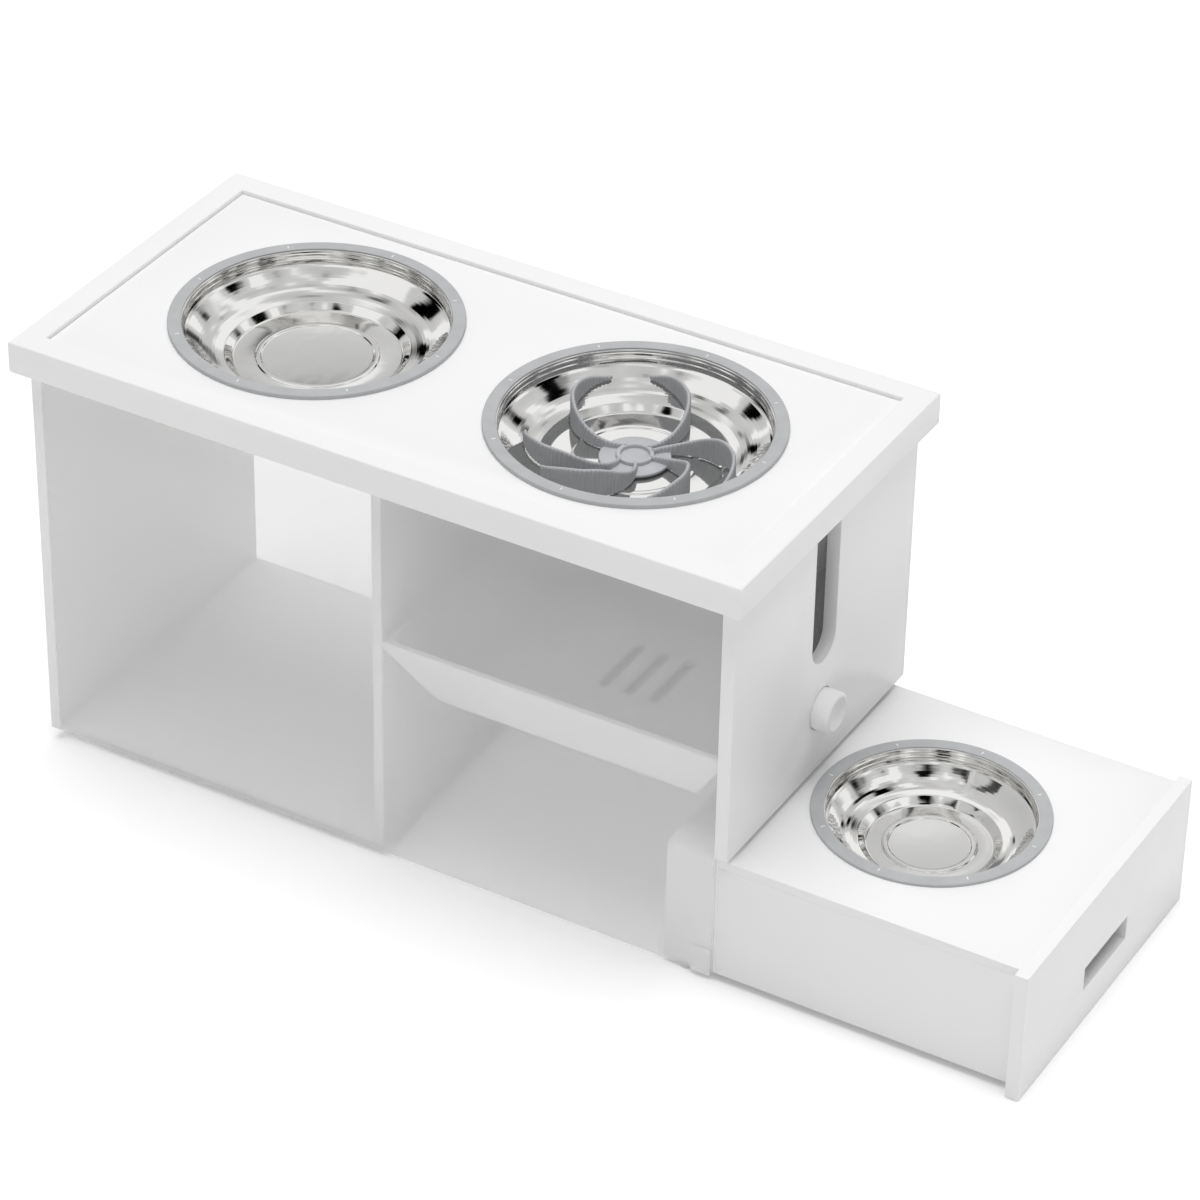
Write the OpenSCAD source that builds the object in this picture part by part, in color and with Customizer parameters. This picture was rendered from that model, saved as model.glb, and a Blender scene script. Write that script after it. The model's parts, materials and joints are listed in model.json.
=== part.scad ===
// Elevated dog feeder with a storage bay, a food bin that empties through a hopper, and a drawer
// with a bowl of its own.
// X runs left to right, Y front to back and Z up. The origin is on the floor, at the middle of the outline
// that the feeder covers with its drawer pulled out. Sizes are in millimetres.

/* [Lid] */
// Length of the lid
lid_len = 700; // [660:1:760]
// Depth of the lid
lid_depth = 340; // [330:1:380]
// Height of the rim above the floor
overall_h = 413; // [400:1:440]
// Height of the rim rails
lid_t = 29; // [26:0.5:32]
// Width of the rim seen from above
rim_w = 23; // [16:0.5:24]
// Depth of the deck below the rim
deck_recess = 4; // [3:0.5:6]
// Thickness of the deck board
deck_t = 9; // [6:0.5:12]
// Width of the ledge that carries the deck
ledge_w = 11; // [8:0.5:13]
// Gap round the deck inside the rim
deck_gap = 0.4; // [0.2:0.1:1]
// Bevel along the rim's upper edges
rim_bevel = 0.8; // [0.4:0.1:2]

/* [Cabinet] */
// Overhang of the lid past the side walls
lid_over_x = 11; // [9:0.5:18]
// Overhang of the lid past the front and the rear
lid_over_y = 14.5; // [13:0.5:20]
// Thickness of the left wall
left_wall_t = 10; // [8:0.5:12]
// Thickness of the right wall
right_wall_t = 12; // [9:0.5:14]
// Thickness of the divider
divider_t = 9; // [8:0.5:12]
// Thickness of the front panel
front_panel_t = 6; // [4:0.5:7]
// Thickness of the back panel of the bin
back_panel_t = 6; // [4:0.5:7]
// Thickness of the storage floor
storage_floor_t = 6; // [5:0.5:12]
// Thickness of the top rails
rail_t = 12; // [9:0.5:15]
// Height of the top rails
rail_h = 60; // [50:1:80]
// Height of the feet
foot_h = 12; // [9:0.5:14]
// Radius of the feet
foot_r = 12; // [8:0.5:15]
// Distance of the feet from the walls
foot_inset = 26; // [20:1:40]

/* [Window] */
// Width of the window slot
window_w = 41; // [30:1:50]
// Height of the slot's lower end above the floor
window_z0 = 240; // [236:1:270]
// Wall left above the slot
window_top_wall = 10; // [6:1:30]
// Thickness of the pane
pane_t = 3; // [2:0.5:4]
// Lap of the pane past the slot's sides
pane_lap = 12; // [10:0.5:16]

/* [Hopper] */
// Height of the hopper's upper edge above the floor
hopper_top_z = 225.5; // [224:0.5:228]
// Height of the upright lip against the walls
hopper_lip = 6; // [4:0.5:8]
// Height of the hopper's lower edge above the floor
hopper_bottom_z = 161; // [158:1:164]
// Slope run of the end boards
hopper_run_x = 37; // [30:1:42]
// Slope run of the front and rear boards
hopper_run_y = 30; // [20:1:40]
// Thickness of the sloping boards
slope_t = 8; // [6:0.5:10]
// Thickness of the hopper floor
hopper_floor_t = 6; // [4:0.5:8]
// Number of outlet slots
outlet_count = 3; // [1:1:3]
// Length of an outlet slot, front to back
outlet_len = 70; // [40:1:90]
// Land kept between an outlet and its closed gate slot
outlet_land = 1; // [0.5:0.5:2]

/* [Dispenser] */
// Radius of the push button
button_r = 18.5; // [16:0.5:19]
// Height of the button's axis above the floor
button_z = 192.5; // [188:0.5:193]
// How far the button stands out of the wall
button_out = 16; // [15:0.5:20]
// How far the button can be pushed
button_travel = 12; // [8:0.5:12]
// Gap between the button and its hole
button_gap = 0.8; // [0.3:0.1:1.2]
// Radius of the dish in the button's face
dish_r = 14.5; // [10:0.5:15]
// Depth of the dish
dish_depth = 3; // [1:0.5:5]
// Rounding of the button's front edge
button_round = 3; // [1:0.5:3.5]
// Length of the button behind the wall's outer face
button_in = 4; // [3:0.5:4]
// Radius of the stem
stem_r = 4; // [3:0.5:5]
// Distance of the stem below the button's axis
stem_drop = 12; // [10:0.5:13]
// Thickness of the gate plate
gate_t = 2; // [1:0.5:2.5]
// Width of the gate plate
gate_w = 84; // [60:1:110]
// Running gap above and below the gate plate
gate_gap = 0.3; // [0.2:0.1:0.5]
// Radius of the return spring's coil
spring_r = 4; // [3:0.5:5]
// Radius of the spring wire
spring_wire_r = 0.6; // [0.4:0.1:0.8]
// Turns of the return spring
spring_turns = 7; // [5:1:9]
// Free space between the spring and its seats
spring_gap = 0.3; // [0.1:0.1:0.4]

/* [Drawer] */
// Height of the drawer bay under the right wall
bay_h = 133; // [130:1:138]
// Gap between the drawer and the right wall
drawer_gap = 7; // [4:0.5:8]
// How far the drawer is pulled out
drawer_out = 272; // [200:1:275]
// Gap between the closed drawer and the divider
drawer_back_gap = 2; // [1:0.5:6]
// Running gap between the drawer and the strap's ends beside it
drawer_run_gap = 0.4; // [0.3:0.1:1]
// Thickness of the end panel
end_panel_t = 12; // [9:0.5:14]
// Gap under the end panel
end_panel_gap = 1; // [0.5:0.5:3]
// Thickness of the drawer's top board
drawer_top_t = 9; // [6:0.5:12]
// Thickness of the drawer's sides and inner end
drawer_side_t = 9; // [8:0.5:12]
// Height of the glides under the drawer's inner end
glide_h = 8; // [8:0.5:10]
// Radius of those glides
glide_r = 7; // [5:0.5:8]
// Radius of the thin pads under the end panel
pad_r = 5; // [3:0.5:5]
// Length of the finger slot
finger_w = 81; // [60:1:110]
// Height of the finger slot
finger_h = 23.5; // [15:0.5:28]
// Height of the finger slot's middle above the floor
finger_z = 47; // [40:1:80]
// Rounding of the finger slot's corners
finger_round = 1; // [0.5:0.5:4]
// Distance of the small bowl's middle from the end panel's face
small_bowl_x = 165; // [150:1:170]

/* [Bay strap] */
// Width of the strap that ties the panels under the drawer
strap_w = 18; // [10:1:24]
// Thickness of the strap
strap_t = 2; // [1:0.5:2.5]
// Height of the strap's feet
strap_foot_h = 5; // [4:0.5:5]
// Height of the strap's upturned ends above the floor
strap_end_h = 30; // [20:1:50]

/* [Bowls] */
// Distance between the large bowls' middles
bowl_pitch = 310.5; // [300:0.5:320]
// Distance of the bowls' common middle from the divider
bowl_shift = 2; // [0:0.5:6]
// Radius of a large bowl's opening
large_r = 113.5; // [100:0.5:115]
// Depth of a large bowl below its ring's top
large_depth = 38; // [34:0.5:60]
// Radius of a large bowl's floor
large_floor_r = 72; // [60:1:80]
// Height of a large ring above the deck
large_ring_h = 4; // [3.5:0.5:6]
// Radius of the small bowl's opening
small_r = 88; // [70:0.5:95]
// Depth of the small bowl below its ring's top
small_depth = 35; // [30:0.5:60]
// Radius of the small bowl's floor
small_floor_r = 53; // [40:1:60]
// Height of the small ring above the drawer
small_ring_h = 3; // [2.5:0.5:4]
// Thickness of the bowls' steel
steel_t = 1; // [0.8:0.1:1.5]
// Width of a steel flange outside the opening
flange_w = 10; // [8:0.5:10.5]
// Width of a silicone ring outside the opening
ring_w = 12.5; // [12:0.5:15]
// Wall of the ring's skirt
skirt_t = 3; // [2:0.5:4]
// Gap between a skirt and the board it drops through
skirt_gap = 0.5; // [0.3:0.1:1]
// Height of the upright band below a bowl's opening
band_h = 13; // [8:0.5:16]
// Width of the shoulder below the band
shoulder_w = 3; // [1:0.5:5]
// How far the sloping wall bellies out
belly = 3; // [0:0.5:5]
// Width of the ring pressed into a bowl's floor
floor_ring_w = 6; // [3:0.5:10]
// Height of the ring pressed into a bowl's floor
floor_ring_h = 1; // [0.5:0.1:2]

/* [Slow feeder] */
// Thickness of a fin
fin_t = 4; // [3:0.5:5]
// Height of the fins above the insert's base
fin_h = 27; // [20:0.5:28]
// Height of the fins where they leave the hub
fin_low_h = 7; // [5:0.5:10]
// Radius of the hub that joins the fins
hub_r = 16; // [12:0.5:20]
// Radius where the fins end
fin_out_r = 100; // [90:1:103]
// Bow of the fins off their straight lines
fin_bow = 29; // [20:1:32]
// Thickness of the insert's base
base_t = 2.5; // [2:0.5:4]
// Gap between the insert and the bowl
insert_gap = 1; // [0.5:0.1:2]
// Height of the insert above the ring pressed into the floor
insert_lift = 0.3; // [0.2:0.1:0.5]
// Chamfer round the insert's base
base_chamfer = 1; // [0.5:0.1:1.5]

/* [Hinges] */
// Distance of a hinge's middle from the nearer wall face
hinge_inset = 90; // [60:1:120]
// Length of a hinge
hinge_len = 50; // [40:1:70]
// Height of the leaf on the cabinet
hinge_leaf_h = 26; // [20:1:35]
// Thickness of the leaves
leaf_t = 1.5; // [1:0.1:2]
// Radius of the knuckles
knuckle_r = 3; // [2.5:0.1:3.2]
// Radius of the hinge pin
hinge_pin_r = 1.6; // [1.2:0.1:1.8]
// Radial gap between the pin and the lid's knuckle
pin_gap = 0.06; // [0.02:0.01:0.1]
// Gap between the knuckles' ends
knuckle_gap = 0.3; // [0.2:0.1:0.6]

/* [Screws] */
// Radius of a screw's shank
screw_r = 1.5; // [1.2:0.1:1.8]
// Radius of a screw's head
screw_head_r = 2.8; // [2.4:0.1:3]
// Height of a screw's head
screw_head_h = 1.2; // [0.8:0.1:1.4]
// Length of a screw's shank in the wood
screw_bite = 9; // [6:0.5:9.5]
// Radial gap round a screw's shank
screw_gap = 0.1; // [0.05:0.05:0.2]

/* [Hidden] */
$fn = 96;
// Extra length that carries a cut clear through a face
cut = 1;

// Outline of the lid
overall_len = lid_len - lid_over_x + drawer_out;
lid_x0 = -overall_len / 2;
lid_x1 = lid_x0 + lid_len;
lid_y0 = -lid_depth / 2;
lid_y1 = lid_depth / 2;
lid_z0 = overall_h - lid_t;
deck_z = overall_h - deck_recess;
deck_edge = rim_w + deck_gap;

// Faces of the cabinet
cab_x0 = lid_x0 + lid_over_x;
cab_x1 = lid_x1 - lid_over_x;
cab_y0 = lid_y0 + lid_over_y;
cab_y1 = lid_y1 - lid_over_y;
div_x = (lid_x0 + lid_x1) / 2;
left_in_x = cab_x0 + left_wall_t;
div_l = div_x - divider_t / 2;
div_r = div_x + divider_t / 2;
right_in_x = cab_x1 - right_wall_t;
front_in_y = cab_y0 + front_panel_t;
back_in_y = cab_y1 - back_panel_t;
rail_z0 = lid_z0 - rail_h;

// Window
window_z1 = lid_z0 - window_top_wall;
pane_w = window_w + 2 * pane_lap;
pane_z0 = hopper_top_z + 0.5;
pane_z1 = lid_z0 - 2;
pane_screw_y = (window_w + pane_lap) / 2;
pane_screw_inset = 12;

// Hopper
slope_z = hopper_top_z - hopper_lip;
slope_h = slope_z - hopper_bottom_z;
slope_tx = slope_t * sqrt(slope_h ^ 2 + hopper_run_x ^ 2) / slope_h;
slope_ty = slope_t * sqrt(slope_h ^ 2 + hopper_run_y ^ 2) / slope_h;
hopper_x0 = div_r;
hopper_x1 = right_in_x;
hopper_y0 = front_in_y;
hopper_y1 = back_in_y;

// Drawer
drawer_top_z = bay_h - drawer_gap;
drawer_x0 = div_r + drawer_back_gap + drawer_out;
drawer_x1 = cab_x1 + drawer_out;
end_panel_x = drawer_x1 - end_panel_t;
drawer_y0 = front_in_y + strap_t + drawer_run_gap;
drawer_y1 = back_in_y - strap_t - drawer_run_gap;
small_x = drawer_x1 - small_bowl_x;
strap_x1 = right_in_x - 4;
strap_x0 = strap_x1 - strap_w;
glide_x = strap_x0 - glide_r - 0.5;

// Gate
outlet_x = small_x - drawer_out;
outlet_w = button_travel - outlet_land;
outlet_pitch = 2 * button_travel;
gate_z1 = hopper_bottom_z - gate_gap;
gate_z0 = gate_z1 - gate_t;
gate_y = gate_w / 2;
gate_x0 = outlet_x - outlet_count * outlet_pitch / 2 - 6;
lug_t = 3;
lug_x = right_in_x - lug_t - 0.3;
lug_h = button_z - stem_drop + stem_r + 2;
tongue_w = 24;
tongue_x = hopper_x1 - hopper_run_x + 2;
spring_lug_x = tongue_x + 4;
spring_len = button_travel * 2.6;
runner_wall = 6;
runner_lip = 6;
runner_lip_t = 3;
runner_z0 = gate_z0 - gate_gap - runner_lip_t;
runner_x0 = gate_x0 - button_travel + 4;
runner_x1 = tongue_x - button_travel - 4;
bridge_t = 4;
bridge_x = spring_lug_x - spring_len - bridge_t;
bridge_h = 12;
spring_z = runner_z0 - spring_r - spring_wire_r + 1;
stem_z = button_z - stem_drop;

// Bowls
left_bowl_x = div_x + bowl_shift - bowl_pitch / 2;
right_bowl_x = div_x + bowl_shift + bowl_pitch / 2;
skirt_clear = 0.2;

// Hinges
hinge_axis_y = cab_y1 + knuckle_r + 0.6;
hinge_axis_z = lid_z0 - knuckle_r - 0.6;
hinge_x = [cab_x0 + hinge_inset, cab_x1 - hinge_inset];
knuckle_len = hinge_len / 3;

// A box between two opposite corners
module slab(a, b) {
    translate(a)
        cube(b - a);
}

// An outline of Y and Z drawn out along X
module prism_x(x0, x1, points) {
    translate([x0, 0, 0])
        rotate([90, 0, 90])
            linear_extrude(x1 - x0)
                polygon(points);
}

// An outline of X and Z drawn out along Y
module prism_y(y0, y1, points) {
    translate([0, y1, 0])
        rotate([90, 0, 0])
            linear_extrude(y1 - y0)
                polygon(points);
}

// A cylinder along X that starts at the given place
module rod_x(r, len) {
    rotate([0, 90, 0])
        cylinder(r = r, h = len);
}

// Cabinet boards

module left_wall() {
    color("white")
        slab([cab_x0, cab_y0, foot_h], [left_in_x, cab_y1, lid_z0]);
}

// Two round ends joined by straight sides, drawn out along X
module window_slot(x0, x1) {
    r = window_w / 2;
    translate([x0, 0, 0])
        rotate([90, 0, 90])
            linear_extrude(x1 - x0)
                union() {
                    translate([0, window_z0 + r])
                        circle(r = r);
                    translate([0, window_z1 - r])
                        circle(r = r);
                    translate([-r, window_z0 + r])
                        square([window_w, window_z1 - window_z0 - window_w]);
                }
}

module right_wall() {
    color("white")
        difference() {
            slab([right_in_x, cab_y0, bay_h], [cab_x1, cab_y1, lid_z0]);
            window_slot(right_in_x - cut, cab_x1 + cut);
            translate([right_in_x - cut, 0, button_z])
                rod_x(button_r + button_gap, right_wall_t + 2 * cut);
            at_pane_screws()
                rod_x(screw_r + screw_gap, screw_bite);
        }
}

module divider() {
    color("white")
        slab([div_l, front_in_y, foot_h], [div_r, cab_y1, lid_z0]);
}

module front_panel() {
    color([0.9, 0.92, 0.93, 0.45])
        slab([left_in_x, cab_y0, foot_h], [right_in_x, front_in_y, lid_z0]);
}

module bin_back_panel() {
    color("white")
        difference() {
            slab([div_r, back_in_y, foot_h], [right_in_x, cab_y1, lid_z0]);
            hinge_screw_holes(hinge_x[1]);
        }
}

module storage_floor() {
    color("white")
        slab([left_in_x, front_in_y, foot_h], [div_l, cab_y1, foot_h + storage_floor_t]);
}

module store_top_rail() {
    color("white")
        difference() {
            slab([left_in_x, cab_y1 - rail_t, rail_z0], [div_l, cab_y1, lid_z0]);
            hinge_screw_holes(hinge_x[0]);
        }
}

module bin_top_rail() {
    color("white")
        difference() {
            slab([div_r, back_in_y - rail_t, rail_z0], [right_in_x, back_in_y, lid_z0]);
            hinge_screw_holes(hinge_x[1]);
        }
}

// Hopper boards: the end boards fit between the front and rear ones

// Outline of the hopper's outside, across one direction
function hopper_outside(a0, a1, run) = [
    [a0, hopper_top_z],
    [a0, slope_z],
    [a0 + run, hopper_bottom_z],
    [a1 - run, hopper_bottom_z],
    [a1, slope_z],
    [a1, hopper_top_z]
];

// Outline of the hopper's inside up to a height, across one direction
function hopper_inside(a0, a1, run, t, z1) = [
    [a0 + t + run * (slope_z - z1) / slope_h, z1],
    [a0 + t + run, hopper_bottom_z],
    [a1 - t - run, hopper_bottom_z],
    [a1 - t - run * (slope_z - z1) / slope_h, z1]
];

// Outline of one sloping board that leans away from the plane a0, in the direction of s
function slope_outline(a0, s, run, t) = [
    [a0, hopper_top_z],
    [a0, slope_z],
    [a0 + s * run, hopper_bottom_z],
    [a0 + s * (run + t), hopper_bottom_z],
    [a0 + s * (t - run * hopper_lip / slope_h), hopper_top_z]
];

module long_slope(y, s) {
    intersection() {
        prism_x(hopper_x0, hopper_x1, slope_outline(y, s, hopper_run_y, slope_ty));
        prism_y(hopper_y0, hopper_y1, hopper_outside(hopper_x0, hopper_x1, hopper_run_x));
    }
}

module end_slope(x, s) {
    intersection() {
        prism_y(hopper_y0, hopper_y1, slope_outline(x, s, hopper_run_x, slope_tx));
        prism_x(hopper_x0, hopper_x1,
            hopper_inside(hopper_y0, hopper_y1, hopper_run_y, slope_ty, hopper_top_z));
    }
}

module hopper_front_board() {
    color("white")
        long_slope(hopper_y0, 1);
}

module hopper_rear_board() {
    color("white")
        long_slope(hopper_y1, -1);
}

module hopper_left_board() {
    color("white")
        end_slope(hopper_x0, 1);
}

module hopper_right_board() {
    color("white")
        end_slope(hopper_x1, -1);
}

// Middles of the outlet slots
function outlet_places() = [
    for (i = [0 : outlet_count - 1]) outlet_x + (i - (outlet_count - 1) / 2) * outlet_pitch
];

module outlet_slots(z0, z1, shift) {
    for (x = outlet_places())
        slab([x + shift - outlet_w / 2, -outlet_len / 2, z0],
            [x + shift + outlet_w / 2, outlet_len / 2, z1]);
}

module hopper_floor() {
    top = hopper_bottom_z + hopper_floor_t;
    color("white")
        difference() {
            intersection() {
                prism_x(hopper_x0, hopper_x1,
                    hopper_inside(hopper_y0, hopper_y1, hopper_run_y, slope_ty, top));
                prism_y(hopper_y0, hopper_y1,
                    hopper_inside(hopper_x0, hopper_x1, hopper_run_x, slope_tx, top));
            }
            outlet_slots(hopper_bottom_z - cut, top + cut, 0);
        }
}

// Window pane on the inner face of the right wall

module at_pane_screws() {
    for (y = [-pane_screw_y, pane_screw_y], z = [pane_z0 + pane_screw_inset, pane_z1 - pane_screw_inset])
        translate([right_in_x - cut, y, z])
            children();
}

module window_pane() {
    color([0.25, 0.25, 0.27, 0.6])
        difference() {
            slab([right_in_x - pane_t, -pane_w / 2, pane_z0], [right_in_x, pane_w / 2, pane_z1]);
            at_pane_screws()
                translate([-pane_t, 0, 0])
                    rod_x(screw_r + screw_gap, pane_t + 2 * cut);
        }
}

module window_screws() {
    color("silver")
        for (y = [-pane_screw_y, pane_screw_y], z = [pane_z0 + pane_screw_inset, pane_z1 - pane_screw_inset])
            translate([right_in_x - pane_t, y, z]) {
                rod_x(screw_r, pane_t + screw_bite - 2 * cut);
                translate([-screw_head_h, 0, 0])
                    rod_x(screw_head_r, screw_head_h);
            }
}

// Feet and the strap that ties the panels under the drawer

module round_foot(r, h) {
    rim = 1.5;
    rotate_extrude()
        polygon([[0, 0], [r - rim, 0], [r, rim], [r, h], [0, h]]);
}

module cabinet_feet() {
    color("dimgray")
        for (x = [left_in_x + foot_inset, div_l - foot_inset], s = [-1, 1])
            translate([x, s * (cab_y1 - foot_inset - foot_r), 0])
                round_foot(foot_r, foot_h);
}

module bay_strap() {
    z0 = strap_foot_h;
    z1 = strap_foot_h + strap_t;
    color("silver")
        prism_x(strap_x0, strap_x1, [
            [front_in_y, z0],
            [back_in_y, z0],
            [back_in_y, strap_end_h],
            [back_in_y - strap_t, strap_end_h],
            [back_in_y - strap_t, z1],
            [front_in_y + strap_t, z1],
            [front_in_y + strap_t, strap_end_h],
            [front_in_y, strap_end_h]
        ]);
}

module strap_feet() {
    r = strap_w / 2 - 1;
    color("dimgray")
        for (s = [-1, 1])
            translate([(strap_x0 + strap_x1) / 2, s * (back_in_y - foot_inset), 0])
                round_foot(r, strap_foot_h);
}

// Gate under the hopper

module gate_runner(s) {
    y0 = gate_y + gate_gap;
    mirror([0, s < 0 ? 1 : 0, 0])
        prism_x(runner_x0, runner_x1, [
            [y0, hopper_bottom_z],
            [y0 + runner_wall, hopper_bottom_z],
            [y0 + runner_wall, runner_z0],
            [gate_y - runner_lip, runner_z0],
            [gate_y - runner_lip, runner_z0 + runner_lip_t],
            [y0, runner_z0 + runner_lip_t]
        ]);
}

module gate_runner_front() {
    color("gainsboro")
        gate_runner(-1);
}

module gate_runner_rear() {
    color("gainsboro")
        gate_runner(1);
}

module gate_bridge() {
    half = gate_y + gate_gap + runner_wall;
    color("gainsboro") {
        slab([bridge_x, -half, runner_z0 - bridge_h], [bridge_x + bridge_t, half, runner_z0]);
        translate([bridge_x + bridge_t, 0, spring_z])
            rod_x(spring_r - 2 * spring_wire_r, 5);
    }
}

// One unbroken coil with straight-cut ends, swept ring by ring
module coil(radius, wire, turns, len) {
    rings_a_turn = 8;
    sides = 6;
    n = turns * rings_a_turn;
    points = [
        for (i = [0 : n], j = [0 : sides - 1])
            let (a = 360 * i / rings_a_turn, b = 360 * j / sides, r = radius + wire * cos(b))
            [r * cos(a), r * sin(a), wire + (len - 2 * wire) * i / n + wire * sin(b)]
    ];
    skin = [
        for (i = [0 : n - 1], j = [0 : sides - 1])
            let (k = (j + 1) % sides)
            [i * sides + j, (i + 1) * sides + j, (i + 1) * sides + k, i * sides + k]
    ];
    first = [for (j = [0 : sides - 1]) j];
    last = [for (j = [sides - 1 : -1 : 0]) n * sides + j];
    polyhedron(points, concat(skin, [first], [last]), convexity = 10);
}

module return_spring() {
    color("silver")
        translate([bridge_x + bridge_t + spring_gap, 0, spring_z])
            rotate([0, 90, 0])
                coil(spring_r, spring_wire_r, spring_turns, spring_len - 2 * spring_gap);
}

module gate_plate() {
    color("silver")
        difference() {
            union() {
                slab([gate_x0, -gate_y, gate_z0], [tongue_x, gate_y, gate_z1]);
                slab([gate_x0, -tongue_w / 2, gate_z0], [lug_x + lug_t, tongue_w / 2, gate_z1]);
                slab([lug_x, -tongue_w / 2, gate_z0], [lug_x + lug_t, tongue_w / 2, lug_h]);
                slab([spring_lug_x, -tongue_w / 2, spring_z - spring_r - 2],
                    [spring_lug_x + gate_t, tongue_w / 2, gate_z1]);
            }
            outlet_slots(gate_z0 - cut, gate_z1 + cut, button_travel);
            translate([lug_x - cut, 0, stem_z])
                rod_x(stem_r / 2 + screw_gap, lug_t + 2 * cut);
        }
}

// Push button with a rounded edge and a dished face
module push_button() {
    len = button_in + button_out;
    bowl_r = (dish_r ^ 2 + dish_depth ^ 2) / (2 * dish_depth);
    color("white")
        translate([cab_x1 - button_in, 0, button_z])
            rotate([0, 90, 0])
                difference() {
                    rotate_extrude()
                        polygon(concat(
                            [[0, 0], [button_r, 0]],
                            [
                                for (a = [0 : 15 : 90])
                                    [
                                        button_r - button_round * (1 - cos(a)),
                                        len - button_round * (1 - sin(a))
                                    ]
                            ],
                            [[0, len]]
                        ));
                    translate([0, 0, len - dish_depth + bowl_r])
                        sphere(r = bowl_r);
                    translate([stem_drop, 0, -cut])
                        cylinder(r = stem_r + screw_gap, h = stem_socket() + cut);
                }
}

// Depth of the stem's socket in the button
function stem_socket() = button_in + button_out / 2;

module button_stem() {
    x0 = lug_x + lug_t;
    color("silver")
        translate([x0, 0, stem_z]) {
            rod_x(stem_r, cab_x1 - button_in + stem_socket() - x0);
            translate([-lug_t - 3, 0, 0])
                rod_x(stem_r / 2, lug_t + 3);
        }
}

module stem_nut() {
    color("silver")
        translate([lug_x - 2, 0, stem_z])
            difference() {
                rod_x(stem_r, 2);
                translate([-cut, 0, 0])
                    rod_x(stem_r / 2 + screw_gap, 2 + 2 * cut);
            }
}

// Hinges

module at_hinge_screws(x) {
    for (dx = [-hinge_len / 3, 0, hinge_len / 3])
        translate([x + dx, 0, hinge_axis_z - hinge_leaf_h * 0.62])
            children();
}

// Holes for the screws that hold one hinge to the cabinet
module hinge_screw_holes(x) {
    at_hinge_screws(x)
        translate([0, cab_y1 + cut, 0])
            rotate([90, 0, 0])
                cylinder(r = screw_r + screw_gap, h = screw_bite + 2 * cut);
}

module cabinet_leaf(x) {
    relief = knuckle_r + knuckle_gap;
    half = knuckle_len / 2 + knuckle_gap;
    difference() {
        union() {
            slab([x - hinge_len / 2, cab_y1, hinge_axis_z - hinge_leaf_h],
                [x + hinge_len / 2, cab_y1 + leaf_t, hinge_axis_z]);
            translate([x - hinge_len / 2, hinge_axis_y, hinge_axis_z])
                rod_x(knuckle_r, hinge_len);
        }
        slab([x - half, cab_y1 - cut, hinge_axis_z - relief],
            [x + half, hinge_axis_y + relief, hinge_axis_z + relief]);
        translate([x - hinge_len / 2 - cut, hinge_axis_y, hinge_axis_z])
            rod_x(hinge_pin_r, hinge_len + 2 * cut);
        at_hinge_screws(x)
            translate([0, cab_y1 + leaf_t + cut, 0])
                rotate([90, 0, 0])
                    cylinder(r = screw_r + screw_gap, h = leaf_t + 2 * cut);
    }
}

module hinge_leaf_left_cabinet() {
    color("silver")
        cabinet_leaf(hinge_x[0]);
}

module hinge_leaf_right_cabinet() {
    color("silver")
        cabinet_leaf(hinge_x[1]);
}

module hinge_pin(x) {
    translate([x - hinge_len / 2, hinge_axis_y, hinge_axis_z])
        rod_x(hinge_pin_r, hinge_len);
}

module hinge_pin_left() {
    color("silver")
        hinge_pin(hinge_x[0]);
}

module hinge_pin_right() {
    color("silver")
        hinge_pin(hinge_x[1]);
}

module hinge_screws_cabinet() {
    color("silver")
        for (x = hinge_x)
            at_hinge_screws(x)
                translate([0, cab_y1 + leaf_t, 0])
                    rotate([90, 0, 0]) {
                        cylinder(r = screw_r, h = leaf_t + screw_bite);
                        translate([0, 0, -screw_head_h])
                            cylinder(r = screw_head_r, h = screw_head_h);
                    }
}

module at_lid_screws(x) {
    for (dx = [-hinge_len / 3, 0, hinge_len / 3])
        translate([x + dx, (hinge_axis_y + knuckle_r + lid_y1) / 2, lid_z0])
            children();
}

module lid_leaf(x) {
    half = knuckle_len / 2 - knuckle_gap / 2;
    clear = knuckle_r + knuckle_gap + 0.3;
    difference() {
        union() {
            slab([x - hinge_len / 2, hinge_axis_y + clear, lid_z0 - leaf_t],
                [x + hinge_len / 2, lid_y1 - 1, lid_z0]);
            slab([x - half, hinge_axis_y, lid_z0 - leaf_t],
                [x + half, hinge_axis_y + clear + 1, lid_z0]);
            translate([x - half, hinge_axis_y, hinge_axis_z])
                rod_x(knuckle_r, 2 * half);
        }
        translate([x - half - cut, hinge_axis_y, hinge_axis_z])
            rod_x(hinge_pin_r + pin_gap, 2 * half + 2 * cut);
        at_lid_screws(x)
            translate([0, 0, -leaf_t - cut])
                cylinder(r = screw_r + screw_gap, h = leaf_t + 2 * cut);
    }
}

module hinge_leaf_left_lid() {
    color("silver")
        lid_leaf(hinge_x[0]);
}

module hinge_leaf_right_lid() {
    color("silver")
        lid_leaf(hinge_x[1]);
}

module hinge_screws_lid() {
    color("silver")
        for (x = hinge_x)
            at_lid_screws(x) {
                translate([0, 0, -leaf_t])
                    cylinder(r = screw_r, h = leaf_t + screw_bite);
                translate([0, 0, -leaf_t - screw_head_h])
                    cylinder(r = screw_head_r, h = screw_head_h);
            }
}

// Lid: four mitred rails with a rabbet, and the deck that lies in it

module rim_rail(len) {
    w = rim_w + ledge_w;
    ledge_z = lid_t - deck_recess - deck_t;
    intersection() {
        prism_x(0, len, [
            [0, 0],
            [w, 0],
            [w, ledge_z],
            [rim_w, ledge_z],
            [rim_w, lid_t - rim_bevel],
            [rim_w - rim_bevel, lid_t],
            [rim_bevel, lid_t],
            [0, lid_t - rim_bevel]
        ]);
        linear_extrude(lid_t)
            polygon([[0, 0], [len, 0], [len - w, w], [w, w]]);
    }
}

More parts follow.
